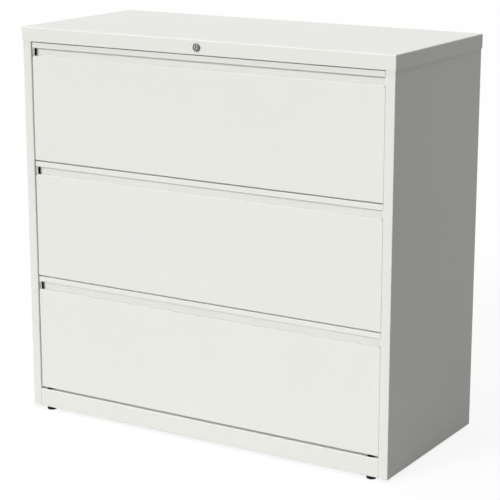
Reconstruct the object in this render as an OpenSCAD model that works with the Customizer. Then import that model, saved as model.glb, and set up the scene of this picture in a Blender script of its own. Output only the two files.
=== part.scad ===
// Lateral filing cabinet: a folded sheet-steel case with three wide drawers on ball slides,
// a one-piece top cap, a key lock that bars all drawers, and four levelling glides.
// Millimetres. X runs across the width, -Y is the front, Z = 0 is the floor, and the
// origin lies under the middle of the overall box, the lock face included.

/* [Cabinet] */
// Overall width over the top cap
cabinet_w = 1067; // [900:1:1200]
// Overall depth of the top cap
cabinet_d = 473; // [465:1:560]
// Overall height above the floor
cabinet_h = 1022; // [960:1:1100]
// Thickness of the sheet that the case is folded from
case_t = 1.2; // [1:0.1:1.5]
// Inside radius of the case's bends
case_bend = 1; // [0.8:0.1:2]
// Height of the top cap's skirt
cap_skirt = 36; // [34:1:44]
// How far the cap stands out past the body on each side
cap_overhang = 2; // [1.8:0.1:4]
// Outer radius of the cap's edges
cap_edge_r = 2.4; // [2.2:0.1:4]
// Width of the front stile on each side panel
stile_w = 25; // [24:1:32]
// Depth of the stile's return behind its face
stile_return = 12; // [8:1:16]
// Width of the side panels' rear, top and bottom flanges
side_flange = 20; // [16:1:22]

/* [Base] */
// Clear height under the case with the glides turned fully in
foot_h = 8; // [6:1:14]
// Height of the base rails
base_h = 48.5; // [40:0.5:60]
// Depth of the base rails' flanges
base_flange = 45; // [36:1:50]
// Setback of the front base rail's face from the stile's face
base_setback = 0.5; // [0:0.1:2]
// Diameter of the access holes over the glides
access_d = 22; // [18:1:23]
// Distance of the glides' axes behind the base rail's face
glide_back = 13.5; // [13:0.5:18]
// Distance of the glides' axes in from the side of the body
glide_in = 49.5; // [44:0.5:80]
// Gap between each end of the counterweight and the side of the body
weight_end = 81.5; // [60:0.5:200]
// Depth of the counterweight
weight_d = 120; // [80:5:150]
// Thickness of the counterweight
weight_t = 25; // [12:1:34]

/* [Drawers] */
// Gap above and between the drawer fronts
front_gap = 3; // [2:0.5:4]
// Gap between the lowest drawer front and the base rail
base_gap = 5; // [3:0.5:7]
// Gap between a drawer front and the stile beside it
side_gap = 1.5; // [1.5:0.5:4]
// Setback of the drawer fronts from the stile's face
front_setback = 3; // [0:0.5:5]
// Thickness of the drawers' sheet
drawer_t = 1; // [0.8:0.1:1.2]
// Depth of a drawer front, with its liner
front_d = 19; // [18:1:26]
// Outer radius of a drawer front's edges
front_edge_r = 1.8; // [1.4:0.1:2.5]
// Height of the drawer's sides and back
tray_h = 230; // [180:5:240]
// Space behind the drawer's back
rear_space = 29.5; // [10:0.5:40]

/* [Finger pull] */
// Height of the lip over the finger pull
lip_h = 14; // [10:1:20]
// Height of the finger pull's opening
pull_h = 20; // [16:1:26]
// Depth of the finger pull
pull_d = 14; // [12:1:14]
// How far the pull's floor lies below its front edge
pull_trough = 5; // [4:0.5:8]
// Radius of the curve between the pull's floor and its wall
pull_r = 5; // [3:0.5:8]
// Gap between the end of the pull and the end of the drawer front
pull_end = 3.5; // [2:0.5:8]
// Depth of the short flange beside the pull
pull_flange = 5; // [3:0.5:7]

/* [Slides] */
// Length of each slide member, which is also how far a drawer opens
slide_len = 400; // [400:5:410]
// Height of the slide's outer member
slide_h = 50; // [46:1:60]
// Height of the slide's centre line above the foot of the drawer front
slide_up = 60; // [50:1:90]
// Diameter of the outer row's balls
outer_ball_d = 4; // [3.5:0.1:4.5]
// Diameter of the inner row's balls
inner_ball_d = 3.6; // [3.2:0.1:4]
// Balls in each row of a cage
ball_count = 5; // [3:1:8]
// Spacing of the balls along a cage
ball_pitch = 36; // [20:1:38]

/* [Lock] */
// Height of the lock's axis below the top
lock_drop = 18.2; // [17.6:0.1:19]
// How far the lock's face stands out from the cap
lock_proud = 5; // [3:0.5:8]
// Diameter of the lock's flange
lock_flange_d = 20; // [18:0.5:24]
// Diameter of the lock's threaded barrel
barrel_d = 16; // [14:0.5:17]
// Diameter of the turning plug
plug_d = 11; // [9.5:0.5:12]
// Travel of the lock bar, which is also the lift of the lock strip
lock_throw = 10; // [8:0.5:10]

/* [Glides] */
// Diameter of the glide's foot pad
pad_d = 25; // [20:1:27]
// Diameter of the glide's threaded stem
stem_d = 10; // [8:0.5:10]
// How far a glide can be turned out, which gives its stem's length
glide_travel = 12; // [6:1:14]

/* [Hidden] */
drawer_count = 3;
drawer_parts = ["drawer_front_", "front_liner_", "drawer_tray_", "drawer_sides_",
                "drawer_fittings_", "outer_slides_", "middle_slides_", "inner_slides_",
                "outer_cages_", "inner_cages_"];
corner_names = ["front_left", "front_right", "rear_left", "rear_right"];

$fn = 48;
eps = 0.01;          // overlap of cuts past a face
run_gap = 0.05;      // radial clearance of a turning shaft
slide_gap = 0.3;     // clearance of a sliding fit
weld_gap = 0.1;      // between two pieces of one node that are joined face to face

// Case
front_y = lock_proud - (cabinet_d + lock_proud) / 2;
rear_y = front_y + cabinet_d;
body_half = cabinet_w / 2 - cap_overhang;
body_front = front_y + cap_overhang;
body_rear = rear_y - cap_overhang;
case_mid_r = case_bend + case_t / 2;
side_in = body_half - case_t;
opening_half = body_half - stile_w;
cap_seat = cabinet_h - case_t;
cap_bottom = cabinet_h - cap_skirt;
back_face = body_rear - case_t;
back_in = back_face - case_t;
side_top = cap_seat - cap_edge_r;
flange_gap = 5;      // between the side panels' flanges and the base rails

// Base
base_top = foot_h + base_h;
base_face = body_front + base_setback;
base_step = 5;       // how much shorter a base rail's top flange is than its lower one
floor_z = foot_h + case_t;
glide_x = body_half - glide_in;
glide_front_y = base_face + glide_back;
glide_rear_y = back_in - glide_back;
pan_lap = 13;
pan_gap = 4;
nut_h = 8;
nut_flats = 16;
weight_gap = 20;
weight_half = body_half - weight_end;
weight_rear = back_in - base_flange - weight_gap;
weight_screw_d = 8;
weight_inset = 25;

// Drawer fronts, numbered from the top down
front_half = opening_half - side_gap;
front_h = (cap_bottom - base_top - base_gap - drawer_count * front_gap) / drawer_count;
front_face = body_front + front_setback;
front_back = front_face + front_d;
pull_return = 3;
hem_w = 2.4;
liner_flange = 8;
notch_w = 2;
notch_h = 4;
function front_foot(i) = base_top + base_gap + (drawer_count - i) * (front_h + front_gap);

// Slides, measured inwards from the posts' faces
outer_t = 1.5;
member_t = 1.2;
ball_gap = 0.1;
cage_t = 0.5;
cage_gap = 0.3;
cage_len = slide_len * 0.45;
outer_reach = 12;
middle_reach = 11;
inner_web = 13;
post_inset = 0.5;
post_face = opening_half - post_inset;
tray_half = post_face - inner_web;
slide_start = 4;
slide_front = front_back + slide_start;
slide_rear = slide_front + slide_len;
outer_race = slide_h / 2 - outer_t;
outer_ball_z = outer_race - ball_gap - outer_ball_d / 2;
middle_top = outer_ball_z - outer_ball_d / 2 - ball_gap;
inner_race = middle_top - member_t;
inner_ball_z = inner_race - ball_gap - inner_ball_d / 2;
inner_top = inner_ball_z - inner_ball_d / 2 - ball_gap;
outer_cage_web = outer_t + cage_gap;
middle_web = outer_cage_web + cage_t + cage_gap;
inner_cage_web = middle_web + member_t + cage_gap;
inner_lip = inner_cage_web + cage_t + 2 * cage_gap;
cage_reach = middle_reach - cage_t;
outer_ball_u = (outer_cage_web + outer_reach) / 2;
inner_ball_u = (inner_lip + inner_web) / 2 - cage_t;
function slide_z(i) = front_foot(i) + slide_up;

// Drawer bodies
tray_rear = back_in - rear_space;
tray_bend = 1;
tray_lift = 7;
tray_flange = 12;
side_hem = 8;
front_upstand = 40;
tray_end_gap = 1.5;
rail_t = 3;
rail_drop = 11;
rail_x = tray_half / 3;
rail_ledge = 12;
function tray_foot(i) = front_foot(i) + tray_lift;
function tray_top(i) = tray_foot(i) + tray_h;
function hang_z(i) = tray_top(i) - drawer_t;

// Posts
post_w = 40;
post_foot = 10;
post_t = 1.5;
post_from_front = 66;
post_from_rear = 44;
post_raise = 4;
post_lap = 20;
post_front_y = slide_front + post_from_front;
post_rear_y = slide_rear - post_from_rear;
post_low = floor_z + post_raise;
post_high = cap_bottom + post_lap;
hook_rise = 12;
hook_w = 2;
hook_h = 10;

// Lock, with its bar behind the top rail and its strip behind the right stile
rail_top_gap = 2.3;
rail_low_gap = 2;
rail_top_flange = 58;
rail_low_flange = 24;
rail_top = cap_seat - rail_top_gap;
rail_low = cap_bottom + rail_low_gap;
lock_z = cabinet_h - lock_drop;
rail_face = front_y + case_t;
rail_back = rail_face + case_t;
barrel_len = 20;
flange_bevel = 1.5;
lock_nut_t = 4;
lock_nut_wall = 3;
barrel_rear = front_y + barrel_len;
cam_t = 2;
cam_front = barrel_rear + slide_gap;
cam_pin_d = 4;
cam_eye = 3;
pin_eye = 2;
cam_r = lock_throw / (2 * sin(45));
cam_x = -lock_throw / 2;
cam_slack = 0.35;
tail_d = 8;
bar_t = 2;
bar_from_cam = 6.7;
bar_gap = 0.8;
bar_tail = 5;
bar_front = cam_front + cam_t + bar_from_cam;
bar_top = rail_top - case_t - bar_gap;
bar_low = lock_z - bar_gap;
bar_pin_d = 5;
strip_gap = 1;
strip_t = 2;
strip_front = bar_front + bar_t + strip_gap;
strip_side_gap = 3.3;
strip_out = side_in - strip_side_gap;
strip_w = 18;
strip_in = strip_out - strip_w;
head_step = 3.5;
head_in = strip_in - head_step;
pin_in = 2;
pin_up = 4;
pin_x = strip_in + pin_in;
pin_z = cap_bottom + pin_up;
head_wall = 3;
head_low = pin_z - lock_throw - bar_pin_d / 2 - head_wall - slide_gap;
head_high = pin_z + bar_pin_d / 2 + head_wall + slide_gap;
strip_raise = 30;
strip_low = base_top + strip_raise;
catch_up = 200;
catch_h = 12;
catch_gap = 2;
catch_t = 2;
catch_inset = 1;
catch_half = front_half - catch_inset;
tab_gap = 4;
tab_in = tray_half + tab_gap;
tab_out = strip_out - tab_gap;
tab_h = 10;
tab_t = 2;
tab_front = strip_front + strip_t + weld_gap;
catch_y = tab_front + tab_t + strip_gap;
key_w = 2.2;
key_h = 7.5;
key_ward = 1.6;
key_ward_up = 0.8;
guide_wall = 1.5;
guide_w = 12;
function catch_z(i) = front_foot(i) + catch_up;

// Glides
pad_socket = 3;
pad_chamfer = 1;
hole_gap = 0.3;
stem_spare = 2.8;
stem_len = floor_z + nut_h + glide_travel + stem_spare - pad_socket;
stem_slot_w = 1.6;
stem_slot_d = 3;

// Unit vector along v
function unit(v) = v / norm(v);

// Section of a sheet bent square at each inner point of path, which is its middle line.
// bends gives the middle-line radius at each of those points.
module folded(path, t, bends) {
  last = len(path) - 1;
  radii = concat([0], bends, [0]);
  for (i = [0 : last - 1]) {
    way = unit(path[i + 1] - path[i]);
    a = path[i] + way * radii[i];
    b = path[i + 1] - way * radii[i + 1];
    if (norm(b - a) > eps)
      translate((a + b) / 2) rotate(atan2(way.y, way.x)) square([norm(b - a), t], center = true);
  }
  for (i = [1 : last - 1]) {
    r = radii[i];
    into = unit(path[i] - path[i - 1]);
    away = unit(path[i + 1] - path[i]);
    reach = 2 * (r + t);
    translate(path[i] - into * r + away * r) intersection() {
      difference() {
        circle(r + t / 2);
        circle(r - t / 2);
      }
      polygon([[0, 0], reach * into, reach * (into - away), -reach * away]);
    }
  }
}

// Draws a section, given as depth and height, along the width from x0 to x1
module along_x(x0, x1) {
  translate([x0, 0, 0]) rotate([90, 0, 90]) linear_extrude(x1 - x0) children();
}

// Draws a section, given as width and height, along the depth from y0 to y1
module along_y(y0, y1) {
  translate([0, y1, 0]) rotate([90, 0, 0]) linear_extrude(y1 - y0) children();
}

// Draws its children at the corners' X, keeping the depth
module both_sides() {
  children();
  mirror([1, 0, 0]) children();
}

// Block between two opposite corners
module block(low, high) {
  translate(low) cube(high - low);
}

// Rectangle with round corners, centred
module round_rect(w, h, r) {
  square([w - 2 * r, h], center = true);
  square([w, h - 2 * r], center = true);
  for (sx = [-1, 1]) for (sy = [-1, 1])
    translate([sx * (w / 2 - r), sy * (h / 2 - r)]) circle(r);
}

// Round shaft from y0 to y1 at x, z
module shaft_y(x, z, d, y0, y1) {
  translate([x, y1, z]) rotate([90, 0, 0]) cylinder(d = d, h = y1 - y0);
}

/* ---- Case ---- */

// Side panel on the left: stile, side and rear flange in one piece, with flanges inside
// its top and bottom edges
module side_panel() {
  mid = body_half - case_t / 2;
  plan = [[-body_half + side_flange, body_rear - case_t / 2],
          [-mid, body_rear - case_t / 2],
          [-mid, body_front + case_t / 2],
          [-opening_half - case_t / 2, body_front + case_t / 2],
          [-opening_half - case_t / 2, body_front + stile_return]];
  flange_front = body_front + base_flange + flange_gap;
  flange_rear = back_in - base_flange - flange_gap;
  color("white") {
    translate([0, 0, foot_h]) linear_extrude(side_top - foot_h)
      folded(plan, case_t, [case_mid_r, case_mid_r, case_mid_r]);
    along_y(flange_front, flange_rear) folded(
      [[-mid, side_top - side_flange], [-mid, cap_seat - case_t / 2],
       [-body_half + side_flange, cap_seat - case_t / 2]], case_t, [cap_edge_r]);
    along_y(flange_front, flange_rear) folded(
      [[-mid, foot_h + side_flange], [-mid, foot_h + case_t / 2],
       [-body_half + side_flange, foot_h + case_t / 2]], case_t, [case_mid_r]);
  }
}

module left_side_panel() {
  side_panel();
}

module right_side_panel() {
  mirror([1, 0, 0]) side_panel();
}

// Sheet behind the drawers, inside the side panels' rear flanges
module back_panel() {
  half = side_in - case_bend - slide_gap;
  color("white") block([-half, back_in, foot_h], [half, back_face, side_top]);
}

// Cap that drops over the case
module cap_block(inset, low) {
  w = cabinet_w - 2 * inset;
  d = cabinet_d - 2 * inset;
  r = cap_edge_r - inset;
  h = cabinet_h - inset - low;
  mid_y = (front_y + rear_y) / 2;
  intersection() {
    translate([0, mid_y, low]) linear_extrude(h) round_rect(w, d, r);
    along_y(front_y - eps, rear_y + eps) translate([0, low]) round_rect(w, 2 * h, r);
    along_x(-cabinet_w / 2, cabinet_w / 2) translate([mid_y, low]) round_rect(d, 2 * h, r);
  }
}

module top_cap() {
  color("white") difference() {
    cap_block(0, cap_bottom);
    cap_block(case_t, cap_bottom - eps);
    shaft_y(0, lock_z, barrel_d + 2 * hole_gap, front_y - eps, rail_face + eps);
  }
}

// Channel behind the cap's skirt, which carries the lock
module front_top_rail() {
  web = rail_face + case_t / 2;
  color("white") difference() {
    along_x(-opening_half, opening_half) folded(
      [[web + rail_low_flange, rail_low + case_t / 2], [web, rail_low + case_t / 2],
       [web, rail_top - case_t / 2], [web + rail_top_flange, rail_top - case_t / 2]],
      case_t, [case_mid_r, case_mid_r]);
    shaft_y(0, lock_z, barrel_d + 2 * hole_gap, rail_face - eps, rail_back + eps);
  }
}

/* ---- Base ---- */

// Section of a base rail, its web at y = 0 and its flanges running to +y
module base_section() {
  folded([[base_flange, case_t / 2], [case_t / 2, case_t / 2],
          [case_t / 2, base_h - case_t / 2], [base_flange - base_step, base_h - case_t / 2]],
         case_t, [case_mid_r, case_mid_r]);
}

// Holes for the glides and for reaching them from inside
module glide_holes(y) {
  both_sides() {
    translate([glide_x, y, foot_h - eps]) cylinder(d = stem_d + 2 * hole_gap, h = case_t + 2 * eps);
    translate([glide_x, y, base_top - case_t - eps]) cylinder(d = access_d, h = case_t + 2 * eps);
  }
}

module front_base_rail() {
  color("white") difference() {
    along_x(-opening_half, opening_half) translate([base_face, foot_h]) base_section();
    glide_holes(glide_front_y);
  }
}

module rear_base_rail() {
  half = side_in - case_bend - slide_gap;
  color("white") difference() {
    along_x(-half, half) translate([back_in, foot_h]) mirror([1, 0]) base_section();
    glide_holes(glide_rear_y);
  }
}

// Floor of the case, resting on the base rails' lower flanges
module bottom_panel() {
  half = side_in - case_bend - pan_gap;
  color("silver") block([-half, base_face + base_flange - pan_lap, floor_z],
                        [half, back_in - base_flange + pan_lap, floor_z + case_t]);
}

// Calls its children at each glide
module at_glides() {
  for (sx = [-1, 1]) for (y = [glide_front_y, glide_rear_y])
    translate([sx * glide_x, y, 0]) children();
}

// Nuts welded to the base rails for the glides
module glide_nuts() {
  color("silver") at_glides() translate([0, 0, floor_z]) difference() {
    cylinder(d = nut_flats / cos(30), h = nut_h, $fn = 6);
    translate([0, 0, -eps]) cylinder(d = stem_d + 2 * run_gap, h = nut_h + 2 * eps);
  }
}

// Places of the counterweight's screws
module at_weight_screws() {
  mid_y = weight_rear - weight_d / 2;
  for (sx = [-1, 1]) for (sy = [-1, 1])
    translate([sx * (weight_half - weight_inset), mid_y + sy * (weight_d / 2 - weight_inset), 0])
      children();
}

// Steel bar that keeps the cabinet from tipping with a drawer open
module counterweight() {
  low = floor_z + case_t;
  color("dimgray") difference() {
    block([-weight_half, weight_rear - weight_d, low], [weight_half, weight_rear, low + weight_t]);
    at_weight_screws() translate([0, 0, low - eps])
      cylinder(d = weight_screw_d + 2 * hole_gap, h = weight_t + 2 * eps);
  }
}

module counterweight_screws() {
  low = floor_z + case_t;
  head = weight_screw_d * 1.6;
  head_h = weight_screw_d / 2;
  color("silver") at_weight_screws() {
    translate([0, 0, low]) cylinder(d = weight_screw_d, h = weight_t);
    translate([0, 0, low + weight_t]) cylinder(d = head / cos(30), h = head_h, $fn = 6);
  }
}

/* ---- Posts that carry the slides ---- */

// Calls its children at each slide hook's height
module at_hooks() {
  for (i = [1 : drawer_count]) for (s = [-1, 1]) translate([0, 0, slide_z(i) + s * hook_rise]) children();
}

// Hat-section post on the left, centred on y
module post(y) {
  foot = -side_in + post_t / 2;
  web = -post_face - post_t / 2;
  out = post_w / 2;
  r = case_bend + post_t / 2;
  color("white") difference() {
    translate([0, 0, post_low]) linear_extrude(post_high - post_low) folded(
      [[foot, y - out - post_foot], [foot, y - out], [web, y - out],
       [web, y + out], [foot, y + out], [foot, y + out + post_foot]],
      post_t, [r, r, r, r]);
    at_hooks() translate([web, y, 0])
      cube([post_t + 2 * eps, hook_w + 4 * slide_gap, hook_h + 4 * slide_gap], center = true);
  }
}

module front_left_post() {
  post(post_front_y);
}

module front_right_post() {
  mirror([1, 0, 0]) post(post_front_y);
}

module rear_left_post() {
  post(post_rear_y);
}

module rear_right_post() {
  mirror([1, 0, 0]) post(post_rear_y);
}

/* ---- Ball slides ---- */

// Places a slide section, given as distance in from the post's face and height, on both
// sides of drawer i and draws it from y0 to y1
module slide_pair(i, y0, y1) {
  both_sides() translate([-post_face, 0, slide_z(i)]) along_y(y0, y1) children();
}

// Member fixed to the posts, with hooks through their slots
module outer_slides(i) {
  lip = slide_h / 2 - outer_t / 2;
  r = outer_t;
  color("silver") {
    slide_pair(i, slide_front, slide_rear)
      folded([[outer_reach, lip], [outer_t / 2, lip], [outer_t / 2, -lip], [outer_reach, -lip]],
             outer_t, [r, r]);
    both_sides() for (y = [post_front_y, post_rear_y]) for (s = [-1, 1])
      translate([-post_face - post_t, y - hook_w / 2, slide_z(i) + s * hook_rise - hook_h / 2])
        cube([post_t + outer_t / 2, hook_w, hook_h]);
  }
}

// Member between the other two, which moves half as far as the drawer
module middle_slides(i) {
  lip = middle_top - member_t / 2;
  web = middle_web + member_t / 2;
  color("silver") slide_pair(i, slide_front, slide_rear)
    folded([[middle_reach, lip], [web, lip], [web, -lip], [middle_reach, -lip]],
           member_t, [member_t, member_t]);
}

// Member fixed to the drawer's side
module inner_slides(i) {
  lip = inner_top - member_t / 2;
  web = inner_web - member_t / 2;
  color("silver") slide_pair(i, slide_front, slide_rear)
    folded([[inner_lip, lip], [web, lip], [web, -lip], [inner_lip, -lip]],
           member_t, [member_t, member_t]);
}

// Cage with its balls, its web u from the post's face and its rows at +-z
module cages(i, u, z, ball_u, ball_d) {
  mid = (slide_front + slide_rear) / 2;
  web = u + cage_t / 2;
  reach = (ball_count - 1) * ball_pitch / 2;
  color("darkgray") {
    difference() {
      slide_pair(i, mid - cage_len / 2, mid + cage_len / 2)
        folded([[cage_reach, z], [web, z], [web, -z], [cage_reach, -z]], cage_t, [cage_t, cage_t]);
      both_sides() for (k = [0 : ball_count - 1]) for (s = [-1, 1])
        translate([-post_face + ball_u, mid - reach + k * ball_pitch, slide_z(i) + s * z - cage_t])
          cylinder(d = ball_d + 2 * slide_gap, h = 2 * cage_t);
    }
    both_sides() for (k = [0 : ball_count - 1]) for (s = [-1, 1])
      translate([-post_face + ball_u, mid - reach + k * ball_pitch, slide_z(i) + s * z])
        sphere(d = ball_d);
  }
}

module outer_cages(i) {
  cages(i, outer_cage_web, outer_ball_z, outer_ball_u, outer_ball_d);
}

module inner_cages(i) {
  cages(i, inner_cage_web, inner_ball_z, inner_ball_u, inner_ball_d);
}

/* ---- Drawers ---- */

// Front pan's block with round front edges, all faces moved in by inset
module front_block(i, inset) {
  half = front_half - inset;
  low = front_foot(i) + inset;
  high = front_foot(i) + front_h - inset;
  face = front_face + inset;
  back = inset > 0 ? front_back + eps : front_back;
  r = front_edge_r - inset;
  d = back - face;
  intersection() {
    translate([0, back, low]) linear_extrude(high - low) round_rect(2 * half, 2 * d, r);
    along_x(-half, half) translate([back, (low + high) / 2]) round_rect(2 * d, high - low, r);
    block([-half, face, low], [half, back, high]);
  }
}

// Outer skin of a drawer front: a pan whose top is folded into a lip over a full-width
// finger pull. The pull is a trough behind a folded edge, open at its two ends, with a
// relief notch where the folds meet.
module drawer_front(i) {
  top = front_foot(i) + front_h;
  lip_low = top - lip_h;
  pull_low = lip_low - pull_h;
  mid = front_face + drawer_t / 2;
  wall = front_face + pull_d + drawer_t / 2;
  trough_z = pull_low - pull_trough;
  fold_r = hem_w / 2;
  pull_half = front_half - pull_end;
  flange_in = front_half - drawer_t;
  color("white") {
    difference() {
      front_block(i, 0);
      front_block(i, drawer_t);
      block([-flange_in, front_face - eps, pull_low - hem_w],
            [flange_in, front_face + front_edge_r, lip_low + hem_w]);
      block([-front_half - eps, front_face - eps, pull_low],
            [front_half + eps, front_face + front_edge_r, lip_low]);
      both_sides() block([flange_in - eps, front_face + pull_flange, pull_low],
                         [front_half + eps, front_back + eps, lip_low]);
      both_sides() block([front_half - notch_w, front_face - eps, pull_low - notch_h],
                         [front_half + eps, front_back + eps, pull_low + eps]);
    }
    along_x(-pull_half, pull_half) folded(
      [[mid, pull_low - hem_w - drawer_t / 2], [mid, pull_low - drawer_t / 2],
       [mid + hem_w, pull_low - drawer_t / 2], [mid + hem_w, trough_z], [wall, trough_z],
       [wall, top - drawer_t / 2]], drawer_t, [fold_r, fold_r, fold_r, pull_r]);
    along_x(-flange_in, flange_in) folded(
      [[mid, lip_low + hem_w + drawer_t], [mid, lip_low + drawer_t / 2],
       [mid + hem_w, lip_low + drawer_t / 2], [mid + hem_w, lip_low + 3 * hem_w]],
      drawer_t, [fold_r, fold_r]);
    both_sides() {
      block([flange_in - pull_return, front_face + pull_flange - drawer_t, trough_z - drawer_t / 2],
            [front_half - notch_w, front_face + pull_flange, lip_low]);
      block([flange_in - pull_return, front_face + pull_flange - drawer_t, pull_low],
            [front_half - drawer_t / 2, front_face + pull_flange, lip_low]);
    }
  }
}

// Pan that closes the back of a drawer front, its flanges notched round the finger pull
module front_liner(i) {
  half = front_half - drawer_t - slide_gap;
  low = front_foot(i) + drawer_t + slide_gap;
  high = front_foot(i) + front_h - drawer_t - slide_gap;
  lip_low = front_foot(i) + front_h - lip_h;
  notch_low = lip_low - pull_h - pull_trough - drawer_t - slide_gap;
  color("white") difference() {
    block([-half, front_back - liner_flange, low], [half, front_back, high]);
    block([-half + drawer_t, front_back - liner_flange - eps, low + drawer_t],
          [half - drawer_t, front_back - drawer_t, high - drawer_t]);
    block([-half - eps, front_back - liner_flange - eps, notch_low],
          [half + eps, front_face + pull_d + drawer_t + slide_gap, high + eps]);
    both_sides() block([half - drawer_t - eps, front_back - liner_flange - eps, notch_low],
                       [half + eps, front_back - drawer_t, lip_low]);
  }
}

// Floor of the drawer, turned up behind the front, and the back that stands on it
module drawer_tray(i) {
  half = tray_half - drawer_t - tray_end_gap;
  r = tray_bend + drawer_t / 2;
  bottom = tray_foot(i) + 1.5 * drawer_t;
  front = front_back + drawer_t / 2;
  back = tray_rear - drawer_t / 2;
  color("white") along_x(-half, half) {
    folded([[front, bottom + front_upstand], [front, bottom], [tray_rear, bottom]], drawer_t, [r]);
    folded([[back, bottom + drawer_t / 2 + weld_gap], [back, hang_z(i) - drawer_t / 2],
            [back - side_hem, hang_z(i) - drawer_t / 2]], drawer_t, [r]);
  }
}

// Two sides of the drawer
module drawer_sides(i) {
  mid = tray_half - drawer_t / 2;
  r = tray_bend + drawer_t / 2;
  low = tray_foot(i) + drawer_t / 2;
  high = tray_top(i) - drawer_t / 2;
  color("white") both_sides() along_y(front_back, tray_rear) folded(
    [[-mid + tray_flange, low], [-mid, low], [-mid, high], [-mid + side_hem, high]],
    drawer_t, [r, r]);
}

// Ledge along the front and two bars to the back, which hanging files ride on, and the
// catch on the right side for the lock strip
module drawer_fittings(i) {
  half = tray_half - drawer_t - tray_end_gap;
  top = hang_z(i);
  bar_z = top + weld_gap;
  ledge_t = drawer_t;
  color("silver") {
    along_x(-half, half) folded(
      [[front_back + ledge_t / 2, top - 2 * rail_drop], [front_back + ledge_t / 2, top - ledge_t / 2],
       [front_back + rail_ledge, top - ledge_t / 2]], ledge_t, [tray_bend + ledge_t / 2]);
    for (sx = [-1, 1]) along_x(sx * rail_x - rail_t / 2, sx * rail_x + rail_t / 2) {
      translate([front_back + slide_gap, bar_z])
        square([tray_rear + rail_t - front_back - slide_gap, rail_t]);
      translate([front_back + rail_ledge + slide_gap, bar_z - rail_drop])
        square([tray_rear - 2 * side_hem - front_back - rail_ledge, rail_drop + eps]);
      translate([tray_rear + slide_gap, bar_z - rail_drop])
        square([rail_t - slide_gap, rail_drop + eps]);
    }
    block([tray_half, catch_y, catch_z(i)], [catch_half, catch_y + catch_t, catch_z(i) + catch_h]);
  }
}

/* ---- Lock ---- */

// Threaded barrel with a flange that rests on the cap
module lock_barrel() {
  face = front_y - lock_proud;
  color("silver") difference() {
    union() {
      shaft_y(0, lock_z, barrel_d, front_y - eps, barrel_rear);
      shaft_y(0, lock_z, lock_flange_d, front_y - lock_proud / 2, front_y);
      translate([0, front_y - lock_proud / 2, lock_z]) rotate([90, 0, 0])
        cylinder(d1 = lock_flange_d, d2 = lock_flange_d - 2 * flange_bevel, h = lock_proud / 2);
    }
    shaft_y(0, lock_z, plug_d + 2 * run_gap, face - eps, barrel_rear + eps);
  }
}

// Hexagon nut that clamps the barrel behind the top rail
module lock_nut() {
  color("silver") difference() {
    translate([0, rail_back + lock_nut_t, lock_z]) rotate([90, 0, 0])
      cylinder(d = (barrel_d + 2 * lock_nut_wall) / cos(30), h = lock_nut_t, $fn = 6);
    shaft_y(0, lock_z, barrel_d + 2 * run_gap, rail_back - eps, rail_back + lock_nut_t + eps);
  }
}

// Plug that the key turns, with its keyway upright when the drawers are free
module lock_plug() {
  face = front_y - lock_proud + slide_gap;
  tail = cam_front + cam_t + slide_gap;
  color("gainsboro") difference() {
    union() {
      shaft_y(0, lock_z, plug_d, face, barrel_rear);
      shaft_y(0, lock_z, tail_d, barrel_rear - eps, tail);
    }
    block([-key_w / 2, face - eps, lock_z - key_h / 2],
          [key_w / 2, face + barrel_len / 3, lock_z + key_h / 2]);
    block([0, face - eps, lock_z + key_ward_up],
          [key_w / 2 + key_ward, face + barrel_len / 3, lock_z + key_ward_up + key_ward]);
  }
}

// Cam on the plug's tail; its pin pushes the lock bar sideways
module lock_cam() {
  cam_z = lock_z + lock_throw / 2;
  color("silver") {
    difference() {
      along_y(cam_front, cam_front + cam_t) {
        translate([0, lock_z]) circle(d = tail_d + 2 * cam_eye);
        translate([cam_x, cam_z]) circle(d = cam_pin_d + 2 * pin_eye);
        translate([cam_x / 2, (cam_z + lock_z) / 2]) rotate(45)
          square([cam_pin_d + 1.5 * pin_eye, cam_r], center = true);
      }
      shaft_y(0, lock_z, tail_d + 2 * run_gap, cam_front - eps, cam_front + cam_t + eps);
    }
    shaft_y(cam_x, cam_z, cam_pin_d, cam_front + cam_t - eps, bar_front + bar_t + slide_gap);
  }
}

// Flat bar that runs from the lock to the right stile and carries the lifting pin
module lock_bar() {
  left = cam_x - cam_pin_d - bar_tail;
  right = pin_x + bar_pin_d / 2 + head_wall;
  leg = pin_x - bar_pin_d / 2 - head_wall;
  slot_half = cam_pin_d / 2 + cam_slack;
  slot_low = lock_z + lock_throw / 2 - slot_half;
  slot_high = lock_z + cam_r + slot_half;
  color("silver") {
    along_y(bar_front, bar_front + bar_t) difference() {
      union() {
        translate([left, bar_low]) square([right - left, bar_top - bar_low]);
        translate([leg, pin_z - bar_pin_d]) square([right - leg, bar_top - pin_z + bar_pin_d]);
      }
      translate([cam_x - slot_half, slot_low]) square([2 * slot_half, slot_high - slot_low]);
    }
    shaft_y(pin_x, pin_z, bar_pin_d, bar_front + bar_t - eps, strip_front + strip_t + slide_gap);
  }
}

// Upright strip with a sloping slot at its head, and the tabs riveted to its back, which
// rise in front of the drawers' catches when the bar moves
module lock_strip() {
  slot_w = bar_pin_d + 2 * slide_gap;
  slot_len = lock_throw * sqrt(2);
  color("silver") {
    along_y(strip_front, strip_front + strip_t) difference() {
      union() {
        translate([strip_in, strip_low]) square([strip_w, head_high - strip_low]);
        translate([head_in, head_low]) square([strip_out - head_in, head_high - head_low]);
      }
      translate([pin_x, pin_z]) rotate(-45) {
        translate([0, -slot_w / 2]) square([slot_len, slot_w]);
        circle(d = slot_w);
        translate([slot_len, 0]) circle(d = slot_w);
      }
    }
    for (i = [1 : drawer_count])
      block([tab_in, tab_front, catch_z(i) - catch_gap - tab_h],
            [tab_out, tab_front + tab_t, catch_z(i) - catch_gap]);
  }
}

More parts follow.
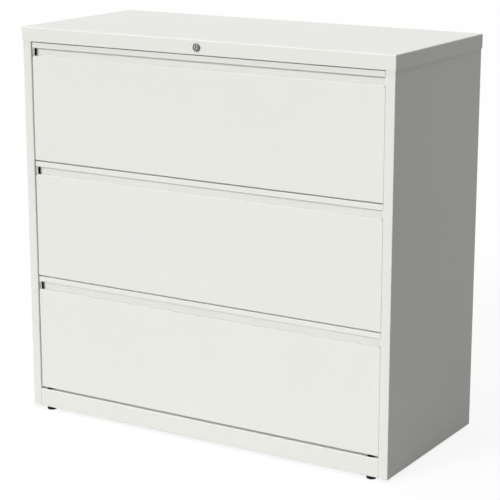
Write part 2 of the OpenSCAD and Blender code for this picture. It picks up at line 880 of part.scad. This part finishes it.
// Guides of the bar, under the top rail, and of the strip, on the right side panel
module lock_guides() {
  gap = slide_gap;
  bar_rear = bar_front + bar_t;
  strip_rear = strip_front + strip_t;
  color("silver") {
    for (x = [opening_half / 4, opening_half * 3 / 4]) difference() {
      block([x, bar_front - gap - guide_wall, bar_low - gap - guide_wall],
            [x + guide_w, bar_rear + gap + guide_wall, rail_top - case_t]);
      block([x - eps, bar_front - gap, bar_low - gap], [x + guide_w + eps, bar_rear + gap, bar_top + gap]);
    }
    for (i = [1 : drawer_count]) difference() {
      block([strip_in - gap - guide_wall, strip_front - gap - guide_wall, catch_z(i) - 4 * catch_h],
            [side_in, strip_rear + gap + guide_wall, catch_z(i) - 3 * catch_h]);
      block([strip_in - gap, strip_front - gap, catch_z(i) - 4 * catch_h - eps],
            [strip_out + gap, strip_rear + gap, catch_z(i) - 3 * catch_h + eps]);
    }
  }
}

/* ---- Levelling glides ---- */

// Moves its children to a corner: sx is -1 for left, rear is 0 for the front
module at_corner(sx, rear) {
  translate([sx * glide_x, rear == 0 ? glide_front_y : glide_rear_y, 0]) children();
}

// Moulded foot with a socket for the stem
module pad(sx, rear) {
  color("black") at_corner(sx, rear) difference() {
    union() {
      cylinder(d1 = pad_d - 2 * pad_chamfer, d2 = pad_d, h = pad_chamfer);
      translate([0, 0, pad_chamfer]) cylinder(d = pad_d, h = foot_h - 2 * pad_chamfer);
      translate([0, 0, foot_h - pad_chamfer])
        cylinder(d1 = pad_d, d2 = pad_d - 2 * pad_chamfer, h = pad_chamfer);
    }
    translate([0, 0, pad_socket]) cylinder(d = stem_d + 2 * run_gap, h = foot_h);
  }
}

// Threaded stem with a screwdriver slot in its top
module stem(sx, rear) {
  color("silver") at_corner(sx, rear) difference() {
    translate([0, 0, pad_socket]) cylinder(d = stem_d, h = stem_len);
    translate([-stem_d, -stem_slot_w / 2, pad_socket + stem_len - stem_slot_d])
      cube([2 * stem_d, stem_slot_w, stem_slot_d + eps]);
  }
}

left_side_panel();
right_side_panel();
back_panel();
top_cap();
front_top_rail();
front_base_rail();
rear_base_rail();
bottom_panel();
glide_nuts();
counterweight();
counterweight_screws();
front_left_post();
front_right_post();
rear_left_post();
rear_right_post();
lock_barrel();
lock_nut();
lock_plug();
lock_cam();
lock_bar();
lock_strip();
lock_guides();
pad(-1, 0);  // front_left_pad
pad(1, 0);  // front_right_pad
pad(-1, 1);  // rear_left_pad
pad(1, 1);  // rear_right_pad
stem(-1, 0);  // front_left_stem
stem(1, 0);  // front_right_stem
stem(-1, 1);  // rear_left_stem
stem(1, 1);  // rear_right_stem
for (i = [1 : drawer_count]) {
  drawer_front(i);
  front_liner(i);
  drawer_tray(i);
  drawer_sides(i);
  drawer_fittings(i);
  outer_slides(i);
  middle_slides(i);
  inner_slides(i);
  outer_cages(i);
  inner_cages(i);
}
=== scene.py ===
# Looks for a lateral filing cabinet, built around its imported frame. Lengths are in metres,
# except where a comment says millimetres.

import math

import bmesh
import bpy
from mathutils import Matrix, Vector


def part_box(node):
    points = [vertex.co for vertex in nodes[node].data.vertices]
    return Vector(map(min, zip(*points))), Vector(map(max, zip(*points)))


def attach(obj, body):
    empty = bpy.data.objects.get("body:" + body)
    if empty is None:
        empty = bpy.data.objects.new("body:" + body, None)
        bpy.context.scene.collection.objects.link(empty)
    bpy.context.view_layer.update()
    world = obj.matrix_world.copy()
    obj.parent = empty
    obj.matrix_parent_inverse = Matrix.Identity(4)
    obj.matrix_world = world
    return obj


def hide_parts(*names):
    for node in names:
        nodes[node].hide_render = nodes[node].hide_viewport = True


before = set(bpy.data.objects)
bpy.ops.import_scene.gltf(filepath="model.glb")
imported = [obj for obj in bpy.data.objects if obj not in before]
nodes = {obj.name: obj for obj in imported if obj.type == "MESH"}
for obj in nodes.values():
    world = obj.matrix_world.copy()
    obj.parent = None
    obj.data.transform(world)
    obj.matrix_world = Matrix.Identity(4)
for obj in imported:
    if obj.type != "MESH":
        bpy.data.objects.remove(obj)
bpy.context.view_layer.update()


# ---- Studio ----
# The cabinet stands on a seamless white floor. A long lens looks down on it from the front
# right. A wide soft light stands before it on the left, a wider one hangs overhead, and the
# white room fills the shade.
camera_place = (2.246, -3.657, 1.522)
camera_pitch = math.radians(13.97)
camera_turn = math.radians(31.48)
camera_lens = 123.2
key_from = (-0.36, -1.00, 0.34)
key_strength = 2.382
key_spread = math.radians(22)
top_from = (-0.05, -0.10, 1.00)
top_strength = 1.72
top_spread = math.radians(50)
room_light = 0.1096
room_tint = "#fcfff2"
floor_white = 0.86
floor_shading = 0.15
floor_tone = 0.35
floor_size = 40.0
fibre_pitch = 0.0025


def srgb(text):
    """Linear colour of an sRGB hex value."""
    channels = [int(text[i:i + 2], 16) / 255 for i in (1, 3, 5)]
    linear = [c / 12.92 if c <= 0.04045 else ((c + 0.055) / 1.055) ** 2.4 for c in channels]
    return (*linear, 1.0)


def add(tree, kind, sockets=None, **settings):
    """Adds a shader node with its settings. A socket gets a value, or a link from another node's
    socket where that is given in its place."""
    node = tree.nodes.new("ShaderNode" + kind)
    for name, value in settings.items():
        setattr(node, name, value)
    for key, value in (sockets or {}).items():
        if isinstance(value, bpy.types.NodeSocket):
            tree.links.new(value, node.inputs[key])
        else:
            node.inputs[key].default_value = value
    return node


def new_material(name):
    """An empty node material."""
    material = bpy.data.materials.new(name)
    material.use_nodes = True
    material.node_tree.nodes.clear()
    return material


def place(obj):
    """Puts an object in the scene."""
    bpy.context.scene.collection.objects.link(obj)
    return obj


lens = bpy.data.cameras.new("camera")
lens.lens = camera_lens
camera = place(bpy.data.objects.new("camera", lens))
camera.location = camera_place
camera.rotation_euler = (math.pi / 2 - camera_pitch, 0, camera_turn)
bpy.context.scene.camera = camera
bpy.context.scene.view_settings.view_transform = "Standard"


def soft_light(name, source, strength, spread, mirrored):
    """A far, wide lamp that shines from source, and may show as a gleam on glossy skins."""
    lamp = bpy.data.lights.new(name, "SUN")
    lamp.energy = strength
    lamp.angle = spread
    light = place(bpy.data.objects.new(name, lamp))
    light.rotation_euler = Vector(source).to_track_quat("Z", "Y").to_euler()
    light.visible_glossy = mirrored


soft_light("front_light", key_from, key_strength, key_spread, mirrored=False)
soft_light("top_light", top_from, top_strength, top_spread, mirrored=True)

world = bpy.data.worlds.new("white_room")
bpy.context.scene.world = world
world.use_nodes = True
tree = world.node_tree
tree.nodes.clear()
path = add(tree, "LightPath")
seen = add(tree, "Math", {0: path.outputs["Is Camera Ray"], 1: path.outputs["Is Glossy Ray"]},
           operation="MAXIMUM")
seen = add(tree, "Math", {0: seen.outputs[0], 1: path.outputs["Is Transmission Ray"]},
           operation="MAXIMUM")
level = add(tree, "MapRange", {"Value": seen.outputs[0], "To Min": room_light, "To Max": 1.0})
tint = add(tree, "Mix", {"Factor": seen.outputs[0], 6: srgb(room_tint), 7: srgb("#ffffff")},
           data_type="RGBA")
white = add(tree, "Background", {"Color": tint.outputs[2], "Strength": level.outputs[0]})
add(tree, "OutputWorld", {"Surface": white.outputs[0]})


def white_floor():
    """Matt paper that shows white to the eye and keeps a soft shadow. Its fibres are drawn
    coarse, so that they show."""
    material = new_material("matt_white_paper")
    tree = material.node_tree
    path = add(tree, "LightPath")
    seen = add(tree, "Math", {0: path.outputs["Is Camera Ray"], 1: path.outputs["Is Glossy Ray"]},
               operation="MAXIMUM")
    coords = add(tree, "TexCoord")
    fibre = add(tree, "TexNoise", {"Vector": coords.outputs["Object"], "Scale": 1 / fibre_pitch})
    tone = add(tree, "MapRange", {"Value": seen.outputs[0], "To Min": floor_tone,
                                  "To Max": floor_shading})
    paper = add(tree, "MapRange", {"Value": fibre.outputs["Fac"], "To Min": 0.98, "To Max": 1.02})
    shade = add(tree, "Math", {0: tone.outputs[0], 1: paper.outputs[0]}, operation="MULTIPLY")
    diffuse = add(tree, "BsdfDiffuse", {"Color": shade.outputs[0]})
    glow = add(tree, "Math", {0: seen.outputs[0], 1: floor_white}, operation="MULTIPLY")
    lift = add(tree, "Emission", {"Color": srgb("#ffffff"), "Strength": glow.outputs[0]})
    both = add(tree, "AddShader", {0: diffuse.outputs[0], 1: lift.outputs[0]})
    add(tree, "OutputMaterial", {"Surface": both.outputs[0]})
    return material


bpy.ops.mesh.primitive_plane_add(size=floor_size)
floor = bpy.context.object
floor.name = "floor"
floor.data.materials.append(white_floor())


# ---- Case ----
# Panels, cap and rails are 1.2 mm cold-rolled sheet, and the posts 1.5 mm. They are folded,
# spot-welded and powder coated after welding, so one even skin runs over every bend.
MM = 0.001
case_white = "#eaebe6"
# Paler colour for sharp edges: partly rubbed wear, partly a painted edge highlight.
rubbed_and_highlit_white = "#f6f6f2"
tone_pitch = 160 * MM
darkest_tone = 0.975
rub_pitch = 9 * MM
edge_width = 1.2 * MM
# Orange peel is 1 to 3 mm wide on a real coat, and its grain far finer. Both are drawn coarser,
# so that they show.
peel_pitch, peel_depth = 7 * MM, 0.4 * MM
grain_pitch, grain_depth = 1.6 * MM, 0.1 * MM
corners = ("front_left", "front_right", "rear_left", "rear_right")


def dress(material, slot, *names):
    """Gives CAD nodes a material. The slot is not used."""
    for name in names:
        piece = nodes[name]
        piece.data.materials.clear()
        piece.data.materials.append(material)


def powder_coat(name, colour):
    """Polyester powder coat on steel: a satin skin with faint orange peel and slow clouds of tone.
    Along sharp edges it is painted a little paler in patches, partly as rubbed wear and partly as a
    painted edge highlight."""
    material = new_material(name)
    tree = material.node_tree
    coords = add(tree, "TexCoord").outputs["Object"]
    cloud = add(tree, "TexNoise", {"Vector": coords, "Scale": 1 / tone_pitch, "Detail": 3.0})
    toned = add(tree, "Mix", {"Factor": cloud.outputs["Fac"], 6: srgb(colour),
                              7: [c * darkest_tone for c in srgb(colour)[:3]] + [1.0]},
                data_type="RGBA")
    rounded = add(tree, "Bevel", {"Radius": edge_width}, samples=4)
    flat = add(tree, "NewGeometry")
    same = add(tree, "VectorMath", {0: rounded.outputs[0], 1: flat.outputs["Normal"]},
               operation="DOT_PRODUCT")
    rub = add(tree, "TexNoise", {"Vector": coords, "Scale": 1 / rub_pitch, "Detail": 4.0})
    # Mask of sharp edges, where the coat is painted paler: partly wear, partly painted highlight.
    edge = add(tree, "MapRange", {"Value": same.outputs["Value"], "From Min": 0.995,
                                  "From Max": 0.90, "To Min": 0.0, "To Max": 0.5})
    worn_and_highlit = add(tree, "Math", {0: edge.outputs[0], 1: rub.outputs["Fac"]}, operation="MULTIPLY")
    skin = add(tree, "Mix", {"Factor": worn_and_highlit.outputs[0], 6: toned.outputs[2], 7: srgb(rubbed_and_highlit_white)},
               data_type="RGBA")
    peel = add(tree, "TexNoise", {"Vector": coords, "Scale": 1 / peel_pitch, "Detail": 1.0})
    grain = add(tree, "TexNoise", {"Vector": coords, "Scale": 1 / grain_pitch, "Detail": 2.0})
    waves = add(tree, "Bump", {"Height": peel.outputs["Fac"], "Strength": 0.10,
                               "Distance": peel_depth})
    rough = add(tree, "Bump", {"Height": grain.outputs["Fac"], "Strength": 0.08,
                               "Distance": grain_depth, "Normal": waves.outputs[0]})
    gloss = add(tree, "MapRange", {"Value": rub.outputs["Fac"], "To Min": 0.36, "To Max": 0.46})
    shader = add(tree, "BsdfPrincipled", {"Base Color": skin.outputs[2], "IOR": 1.5,
                                          "Roughness": gloss.outputs[0],
                                          "Normal": rough.outputs[0]})
    add(tree, "OutputMaterial", {"Surface": shader.outputs[0]})
    return material


case_coat = powder_coat("powder_coated_case_steel", case_white)
dress(case_coat, "case_paint",
      "left_side_panel", "right_side_panel", "back_panel", "top_cap", "front_top_rail",
      "front_base_rail", "rear_base_rail", *[c + "_post" for c in corners])


# ---- Spot welds ----
# Welding tips leave a shallow ring every few inches where the side panels' rear flanges hold
# the back. The powder coat runs over them.
weld_pitch = 98 * MM
weld_edge = 12.5 * MM
weld_start = 32 * MM
weld_marks = 10
sharp_bend = math.radians(35)
weld_profile = ((3.4, -0.10), (3.3, 0.08), (3.0, 0.16), (2.5, 0.14), (2.1, 0.05), (0.4, 0.03))


def close_rings(mesh, rings):
    """Adds a solid whose skin runs over a stack of rings, each with as many points."""
    rows = [[mesh.verts.new(point) for point in ring] for ring in rings]
    for low, high in zip(rows, rows[1:]):
        for k in range(len(low)):
            n = (k + 1) % len(low)
            mesh.faces.new((low[k], low[n], high[n], high[k]))
    mesh.faces.new(rows[0][::-1])
    mesh.faces.new(rows[-1])


def turned(mesh, at, outward, profile, sides=24, flats=()):
    """Adds a solid turned about an axis through a point. The profile is in millimetres, radius
    and height, and a ring whose number is in flats is a hexagon with that radius to its flats."""
    turn = Vector(outward).to_track_quat("Z", "Y")
    rings = []
    for number, (radius, height) in enumerate(profile):
        ring = []
        for k in range(sides):
            a = 2 * math.pi * k / sides
            reach = radius
            if number in flats:
                reach = radius / math.cos((a + math.pi / 6) % (math.pi / 3) - math.pi / 6)
            point = Vector((reach * math.cos(a), reach * math.sin(a), height)) * MM
            ring.append(Vector(at) + turn @ point)
        rings.append(ring)
    close_rings(mesh, rings)


def small_parts(name, mesh, material, body):
    """Makes a finished mesh a piece that moves with a body."""
    data = bpy.data.meshes.new(name)
    mesh.to_mesh(data)
    mesh.free()
    data.shade_smooth()
    data.set_sharp_from_angle(angle=sharp_bend)
    data.materials.append(material)
    piece = place(bpy.data.objects.new(name, data))
    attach(piece, body)
    return piece


panel_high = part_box("right_side_panel")[1]
mesh = bmesh.new()
for side in (-1, 1):
    for k in range(weld_marks):
        turned(mesh, (side * (panel_high.x - weld_edge), panel_high.y, weld_start + k * weld_pitch),
               (0, 1, 0), weld_profile)
small_parts("rear_weld_marks", mesh, case_coat, "cabinet")


# ---- Drawer fronts and bodies ----
# Each front is a folded pan closed by a liner; behind it stand two sides, a floor and a back
# of 1 mm sheet. All are coated in the same powder as the case before the slides go on.
drawers = (1, 2, 3)
front_white = "#ebece7"

drawer_coat = powder_coat("powder_coated_drawer_steel", front_white)
for i in drawers:
    dress(drawer_coat, "drawer_paint", f"drawer_front_{i}", f"front_liner_{i}",
          f"drawer_tray_{i}", f"drawer_sides_{i}")


# ---- Plated fittings ----
# File rails, lock linkage and guides are pressed from cold-rolled strip, then hung on racks in
# a bath and zinc plated.
zinc_grey = "#c3c6c9"
cloud_pitch = 25 * MM
darkest_cloud = 0.82
# Rolling lines lie about 0.1 mm apart. They are drawn six times coarser, so that they show.
line_pitch, line_length, line_depth = 0.6 * MM, 60 * MM, 0.05 * MM


def plated_steel(name, colour, grain_axis, roughness=(0.30, 0.42)):
    """Zinc-plated strip: a soft grey shine with faint clouds, and rolling lines along
    grain_axis (0, 1 or 2)."""
    material = new_material(name)
    tree = material.node_tree
    coords = add(tree, "TexCoord").outputs["Object"]
    stretch = [1 / line_pitch] * 3
    stretch[grain_axis] = 1 / line_length
    lines_at = add(tree, "Mapping", {"Vector": coords, "Scale": stretch})
    lines = add(tree, "TexNoise", {"Vector": lines_at.outputs[0], "Scale": 1.0, "Detail": 2.0})
    cloud = add(tree, "TexNoise", {"Vector": coords, "Scale": 1 / cloud_pitch, "Detail": 3.0})
    toned = add(tree, "Mix", {"Factor": cloud.outputs["Fac"], 6: srgb(colour),
                              7: [c * darkest_cloud for c in srgb(colour)[:3]] + [1.0]},
                data_type="RGBA")
    gloss = add(tree, "MapRange", {"Value": cloud.outputs["Fac"], "To Min": roughness[0],
                                   "To Max": roughness[1]})
    scratch = add(tree, "Bump", {"Height": lines.outputs["Fac"], "Strength": 0.15,
                                 "Distance": line_depth})
    shader = add(tree, "BsdfPrincipled", {"Base Color": toned.outputs[2], "Metallic": 1.0,
                                          "Roughness": gloss.outputs[0],
                                          "Normal": scratch.outputs[0]})
    add(tree, "OutputMaterial", {"Surface": shader.outputs[0]})
    return material


zinc_along_width = plated_steel("zinc_plated_strip", zinc_grey, 0)
zinc_upright = plated_steel("zinc_plated_upright_strip", zinc_grey, 2)
dress(zinc_along_width, "zinc_steel", "lock_bar", "lock_cam",
      *[f"drawer_fittings_{i}" for i in drawers])
dress(zinc_upright, "zinc_steel", "lock_strip", "lock_guides")


# ---- Floor of the case ----
# A flat sheet lies on the base rails' lower flanges. It was dipped in molten zinc, which froze
# on it in spangles.
spangle_size, spangle_depth = 9 * MM, 0.05 * MM


def galvanised_sheet():
    """Hot-dip zinc: pale grey crystals, each with its own tilt and shade."""
    material = new_material("galvanised_sheet")
    tree = material.node_tree
    coords = add(tree, "TexCoord").outputs["Object"]
    cells = add(tree, "TexVoronoi", {"Vector": coords, "Scale": 1 / spangle_size})
    shade = add(tree, "SeparateColor", {"Color": cells.outputs["Color"]})
    tone = add(tree, "Mix", {"Factor": shade.outputs[0], 6: srgb("#b9bdc0"), 7: srgb("#9da2a6")},
               data_type="RGBA")
    gloss = add(tree, "MapRange", {"Value": shade.outputs[1], "To Min": 0.28, "To Max": 0.50})
    crystal = add(tree, "Bump", {"Height": shade.outputs[2], "Strength": 0.1,
                                 "Distance": spangle_depth})
    shader = add(tree, "BsdfPrincipled", {"Base Color": tone.outputs[2], "Metallic": 1.0,
                                          "Roughness": gloss.outputs[0],
                                          "Normal": crystal.outputs[0]})
    add(tree, "OutputMaterial", {"Surface": shader.outputs[0]})
    return material


dress(galvanised_sheet(), "zinc_steel", "bottom_panel")


# ---- Ball slides ----
# Outer, middle and inner members are roll-formed from plated strip and packed with grease;
# hardened balls run between them in pressed cages.
slide_steel = plated_steel("roll_formed_slide_steel", "#b3b7bb", 1, (0.24, 0.36))
cage_steel = plated_steel("pressed_cage_steel", "#8f9498", 1, (0.20, 0.30))
for i in drawers:
    dress(slide_steel, "slide_steel", f"outer_slides_{i}", f"middle_slides_{i}",
          f"inner_slides_{i}")
    dress(cage_steel, "slide_steel", f"outer_cages_{i}", f"inner_cages_{i}")


# ---- Slide rivets ----
# Semi-tubular steel rivets, set from inside the drawer, hold each inner member to the drawer's
# side. Their domed heads are zinc plated.
rivet_places = (25 * MM, 190 * MM, 375 * MM)
rivet_profile = ((3.6, -0.05), (3.55, 0.25), (3.2, 0.75), (2.5, 1.2), (1.5, 1.5), (0.5, 1.6))
sheet = 1.0 * MM

rivet_steel = plated_steel("zinc_plated_rivet_steel", "#b4b8bb", 2, (0.28, 0.40))
for i in drawers:
    slide_low, slide_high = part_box(f"inner_slides_{i}")
    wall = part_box(f"drawer_sides_{i}")[1].x - sheet
    mesh = bmesh.new()
    for side in (-1, 1):
        for along in rivet_places:
            turned(mesh, (side * wall, slide_low.y + along, (slide_low.z + slide_high.z) / 2),
                   (-side, 0, 0), rivet_profile)
    small_parts(f"slide_rivets_{i}", mesh, rivet_steel, f"drawer_{i}")


# ---- Lock ----
# Die-cast zinc barrel and plug, turned on the face and plated in satin nickel. A hexagon nut of
# plated steel clamps the barrel to the rail.
# Turning leaves rings about 0.1 mm apart, which are drawn five times coarser to show.
ring_pitch, ring_depth = 0.5 * MM, 0.03 * MM
speck_size = 1.2 * MM
# Painted shade: hollows within this reach are darkened towards this near-black.
shade_reach = 4 * MM
painted_shade_black = "#0c0c0c"


def nickel_plate(name, colour, roughness):
    """Satin nickel over a turned face: a soft grey gleam with faint rings. Painted shade turns the
    keyway and the seams nearly black, the more so the closer they are hemmed in."""
    material = new_material(name)
    tree = material.node_tree
    coords = add(tree, "TexCoord").outputs["Object"]
    low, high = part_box("lock_barrel")
    centre = add(tree, "VectorMath", {0: coords, 1: (0.0, 0.0, (low.z + high.z) / 2)},
                 operation="SUBTRACT")
    flat = add(tree, "VectorMath", {0: centre.outputs[0], 1: (1.0, 0.0, 1.0)}, operation="MULTIPLY")
    radius = add(tree, "VectorMath", {0: flat.outputs[0]}, operation="LENGTH")
    turn = add(tree, "Math", {0: radius.outputs["Value"], 1: 2 * math.pi / ring_pitch},
               operation="MULTIPLY")
    rings = add(tree, "Math", {0: turn.outputs[0]}, operation="SINE")
    specks = add(tree, "TexNoise", {"Vector": coords, "Scale": 1 / speck_size, "Detail": 3.0})
    gloss = add(tree, "MapRange", {"Value": specks.outputs["Fac"], "To Min": roughness,
                                   "To Max": roughness + 0.10})
    faint = add(tree, "Bump", {"Height": rings.outputs[0], "Strength": 0.12,
                               "Distance": ring_depth})
    occlusion = add(tree, "AmbientOcclusion", {"Distance": shade_reach}, samples=8)
    unshaded = add(tree, "MapRange", {"Value": occlusion.outputs["AO"], "From Min": 0.45,
                                   "From Max": 0.85})
    tone = add(tree, "Mix", {"Factor": unshaded.outputs[0], 6: srgb(painted_shade_black), 7: srgb(colour)},
               data_type="RGBA")
    shader = add(tree, "BsdfPrincipled", {"Base Color": tone.outputs[2], "Metallic": 1.0,
                                          "Roughness": gloss.outputs[0],
                                          "Normal": faint.outputs[0]})
    add(tree, "OutputMaterial", {"Surface": shader.outputs[0]})
    return material


# The barrel's nickel is painted darker than the plug's: a painted dark reflection on its bezel.
dress(nickel_plate("nickel_plated_barrel", "#77797c", 0.18), "lock_chrome", "lock_barrel")
dress(nickel_plate("nickel_plated_plug", "#b8b9bc", 0.22), "lock_chrome", "lock_plug")


# ---- Screws and nuts ----
# The weld nuts, the counterweight's screws and the lock's nut are cold-headed steel, zinc
# plated and slightly dull.
fastener_steel = plated_steel("zinc_plated_fastener_steel", "#a9adb0", 2, (0.34, 0.48))
dress(fastener_steel, "screw_steel", "glide_nuts", "counterweight_screws", "lock_nut")


# ---- Front screws ----
# Four thread-forming screws with a hexagon washer head join each front to the upturned edge of
# the drawer's floor.
screw_places = (-420 * MM, -140 * MM, 140 * MM, 420 * MM)
screw_height = 28 * MM
screw_profile = ((6.5, -0.05), (6.5, 0.7), (6.1, 1.0), (4.0, 1.05), (4.0, 3.9), (3.6, 4.4),
                 (2.6, 4.4), (2.3, 4.1))

for i in drawers:
    tray_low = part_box(f"drawer_tray_{i}")[0]
    mesh = bmesh.new()
    for x in screw_places:
        turned(mesh, (x, tray_low.y + sheet, tray_low.z + screw_height), (0, 1, 0), screw_profile,
               sides=36, flats=(3, 4))
    small_parts(f"front_screws_{i}", mesh, fastener_steel, f"drawer_{i}")


# ---- Stems of the levelling feet ----
# M10 steel screws, their thread rolled at 1.5 mm pitch, zinc plated. A screwdriver turns them
# from inside the case by the slot in the top.
# Pitch and depth of the thread are in millimetres.
thread_pitch = 1.5
thread_depth = 0.92
rings_per_pitch = 8
saw_length = 30 * MM
saw_width = 1.6 * MM
saw_depth = 3.0 * MM


def thread_radius(radius, length, height, angle):
    """Radius of a right-hand thread, chamfered at both ends, all in millimetres. Its crest is an
    eighth of the pitch wide, and its root a quarter."""
    phase = (height / thread_pitch - angle / (2 * math.pi)) % 1
    flank = min(max((abs(phase - 0.5) - 1 / 16) / (5 / 16), 0), 1)
    chamfer = radius - thread_depth + min(height, length - height)
    return min(radius - flank * thread_depth, chamfer)


def threaded_stem(corner, sides=32):
    """Threaded rod that stands for a corner's stem. Gives it back with the middle of its top."""
    low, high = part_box(corner + "_stem")
    radius, length = (high.x - low.x) / 2 / MM, (high.z - low.z) / MM
    middle = Vector(((low.x + high.x) / 2, (low.y + high.y) / 2, low.z))
    count = math.ceil(length / thread_pitch * rings_per_pitch)
    rings = []
    for row in range(count + 1):
        height = length * row / count
        ring = []
        for k in range(sides):
            a = 2 * math.pi * k / sides
            reach = thread_radius(radius, length, height, a)
            ring.append(middle + Vector((reach * math.cos(a), reach * math.sin(a), height)) * MM)
        rings.append(ring)
    mesh = bmesh.new()
    close_rings(mesh, rings)
    piece = small_parts(corner + "_threaded_stem", mesh, fastener_steel, corner + "_stem")
    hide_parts(corner + "_stem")
    return piece, Vector((middle.x, middle.y, high.z))


def saw_slot(piece, top):
    """Saws the screwdriver slot in a stem's top, along the cabinet's width."""
    blade_mesh = bmesh.new()
    bmesh.ops.create_cube(blade_mesh, size=1.0)
    for vert in blade_mesh.verts:
        vert.co = top + vert.co * Vector((saw_length, saw_width, 2 * saw_depth))
    data = bpy.data.meshes.new("saw")
    blade_mesh.to_mesh(data)
    blade_mesh.free()
    blade = place(bpy.data.objects.new("saw", data))
    cut = piece.modifiers.new("slot", "BOOLEAN")
    cut.object = blade
    cut.solver = "EXACT"
    graph = bpy.context.evaluated_depsgraph_get()
    sawn = bpy.data.meshes.new_from_object(piece.evaluated_get(graph))
    piece.modifiers.clear()
    piece.data = sawn
    bpy.data.objects.remove(blade)


for corner in corners:
    saw_slot(*threaded_stem(corner))


# ---- Counterweight ----
# A sawn bar of hot-rolled steel, screwed down towards the back of the floor against tipping.
# It is left with its blue-grey mill scale and a bloom of rust.
patch_size = 30 * MM
freckle_size, freckle_depth = 5 * MM, 0.2 * MM
rust = "#6b4630"


def mill_scale():
    """Hot-rolled skin: dark, patchy, half metal and half oxide, with rust freckles."""
    material = new_material("hot_rolled_bar")
    tree = material.node_tree
    coords = add(tree, "TexCoord").outputs["Object"]
    patches = add(tree, "TexNoise", {"Vector": coords, "Scale": 1 / patch_size, "Detail": 6.0})
    tone = add(tree, "Mix", {"Factor": patches.outputs["Fac"], 6: srgb("#3a3d42"),
                             7: srgb("#57595b")}, data_type="RGBA")
    freckle = add(tree, "TexNoise", {"Vector": coords, "Scale": 1 / freckle_size, "Detail": 4.0})
    rusty = add(tree, "MapRange", {"Value": freckle.outputs["Fac"], "From Min": 0.60,
                                   "From Max": 0.72})
    skin = add(tree, "Mix", {"Factor": rusty.outputs[0], 6: tone.outputs[2], 7: srgb(rust)},
               data_type="RGBA")
    rough = add(tree, "Bump", {"Height": freckle.outputs["Fac"], "Strength": 0.3,
                               "Distance": freckle_depth})
    shader = add(tree, "BsdfPrincipled", {"Base Color": skin.outputs[2], "Metallic": 0.6,
                                          "Roughness": 0.62, "Normal": rough.outputs[0]})
    add(tree, "OutputMaterial", {"Surface": shader.outputs[0]})
    return material


dress(mill_scale(), "raw_steel", "counterweight")


# ---- Levelling feet ----
# Injection-moulded black nylon pads, pressed on the stems. The mould was spark-eroded, and left
# them a dull skin. Its texture is about 0.2 mm fine, and is drawn four times coarser to show.
spark_pitch, spark_depth = 0.8 * MM, 0.1 * MM
scuff_pitch = 6 * MM


def moulded_nylon():
    """Black nylon: matt, fine mould texture, scuffed grey where it has slid on floors."""
    material = new_material("moulded_black_nylon")
    tree = material.node_tree
    coords = add(tree, "TexCoord").outputs["Object"]
    texture = add(tree, "TexNoise", {"Vector": coords, "Scale": 1 / spark_pitch, "Detail": 3.0})
    scuffs = add(tree, "TexNoise", {"Vector": coords, "Scale": 1 / scuff_pitch, "Detail": 4.0})
    tone = add(tree, "Mix", {"Factor": scuffs.outputs["Fac"], 6: srgb("#0a0a0a"),
                             7: srgb("#161616")}, data_type="RGBA")
    bumps = add(tree, "Bump", {"Height": texture.outputs["Fac"], "Strength": 0.25,
                               "Distance": spark_depth})
    shader = add(tree, "BsdfPrincipled", {"Base Color": tone.outputs[2], "IOR": 1.53,
                                          "Specular IOR Level": 0.25, "Roughness": 0.80,
                                          "Normal": bumps.outputs[0]})
    add(tree, "OutputMaterial", {"Surface": shader.outputs[0]})
    return material


dress(moulded_nylon(), "foot_plastic", *[c + "_pad" for c in corners])
